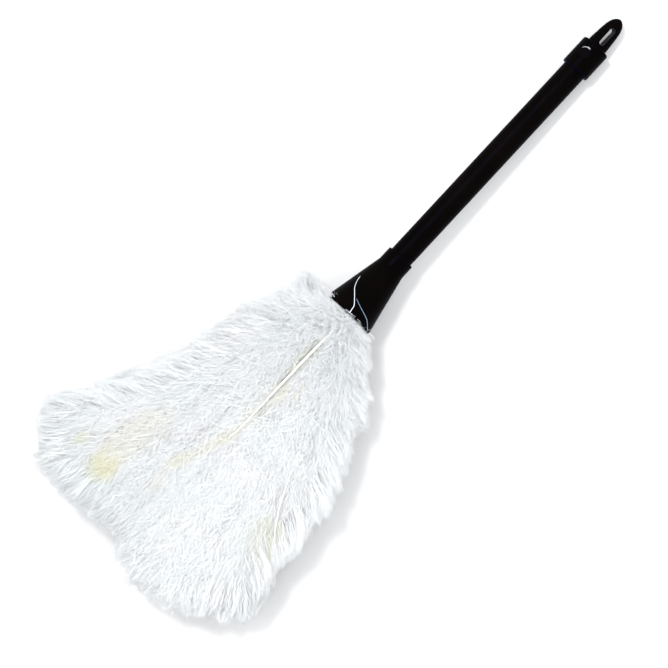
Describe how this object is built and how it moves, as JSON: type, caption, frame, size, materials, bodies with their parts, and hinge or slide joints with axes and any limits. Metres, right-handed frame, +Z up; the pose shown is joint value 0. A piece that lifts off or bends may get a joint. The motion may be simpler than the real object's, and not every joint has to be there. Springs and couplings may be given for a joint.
{
  "type": "feather duster",
  "caption": "Feather duster lying on its side: round black plastic handle with a hang-up tab, flared ferrule, and a broad soft plume of white feathers that sways and spreads.",
  "frame": {"origin": "on the surface that the duster lies on, under the middle of its bounding box", "axes": "+X along the duster from the hang-up tab towards the feathers, +Y to the left looking along +X, +Z up"},
  "size_m": [0.4092, 0.1512, 0.0584],
  "materials": {
    "black_plastic": "injection-moulded, satin to gloss, near black",
    "white_feather": "bleached feather and down, cool white with cream patches",
    "quill": "bare feather quill, cream, satin",
    "turned_wood": "plain turned softwood, unvarnished",
    "tie_cord": "waxed cotton cord, natural",
    "hot_melt": "set hot-melt adhesive, amber, smooth"
  },
  "bodies": {
    "handle": {"handle_tube": "black_plastic", "ferrule": "black_plastic", "end_cap": "black_plastic", "core_stick": "turned_wood", "adhesive_plug": "hot_melt", "tie_inner": "tie_cord", "tie_middle": "tie_cord", "tie_outer": "tie_cord", "quill_butts_inner": "quill", "quill_butts_middle": "quill", "quill_butts_outer": "quill"},
    "plume": {"feather_inner_01": "white_feather", "feather_inner_02": "white_feather", "feather_inner_03": "white_feather", "feather_inner_04": "white_feather", "feather_inner_05": "white_feather", "feather_inner_06": "white_feather", "feather_inner_07": "white_feather", "feather_middle_01": "white_feather", "feather_middle_02": "white_feather", "feather_middle_03": "white_feather", "feather_middle_04": "white_feather", "feather_middle_05": "white_feather", "feather_middle_06": "white_feather", "feather_middle_07": "white_feather", "feather_middle_08": "white_feather", "feather_middle_09": "white_feather", "feather_middle_10": "white_feather", "feather_middle_11": "white_feather", "feather_middle_12": "white_feather", "feather_middle_13": "white_feather", "feather_outer_11": "white_feather"},
    "top_tuft": {"feather_outer_01": "white_feather", "feather_outer_02": "white_feather", "feather_outer_03": "white_feather", "feather_outer_19": "white_feather", "feather_outer_20": "white_feather"},
    "left_tuft": {"feather_outer_12": "white_feather", "feather_outer_13": "white_feather", "feather_outer_14": "white_feather", "feather_outer_15": "white_feather", "feather_outer_16": "white_feather", "feather_outer_17": "white_feather", "feather_outer_18": "white_feather"},
    "right_tuft": {"feather_outer_04": "white_feather", "feather_outer_05": "white_feather", "feather_outer_06": "white_feather", "feather_outer_07": "white_feather", "feather_outer_08": "white_feather", "feather_outer_09": "white_feather", "feather_outer_10": "white_feather"}
  },
  "joints": [
    {"name": "plume_sway", "type": "hinge", "parent": "handle", "child": "plume", "pos_m": [0.00635, 0.00979, 0.02076], "axis": [0, 0, 1], "range_deg": [-7, 7], "stiffness_Nm_per_rad": 0.4},
    {"name": "left_tuft_spread", "type": "hinge", "parent": "plume", "child": "left_tuft", "pos_m": [0.00635, 0.00979, 0.02076], "axis": [0, 0, 1], "range_deg": [0, 6], "stiffness_Nm_per_rad": 0.12},
    {"name": "right_tuft_spread", "type": "hinge", "parent": "plume", "child": "right_tuft", "pos_m": [0.00635, 0.00979, 0.02076], "axis": [0, 0, -1], "range_deg": [0, 6], "stiffness_Nm_per_rad": 0.12},
    {"name": "top_tuft_lift", "type": "hinge", "parent": "plume", "child": "top_tuft", "pos_m": [0.00635, 0.00979, 0.02076], "axis": [0, -1, 0], "range_deg": [0, 8], "stiffness_Nm_per_rad": 0.12}
  ]
}
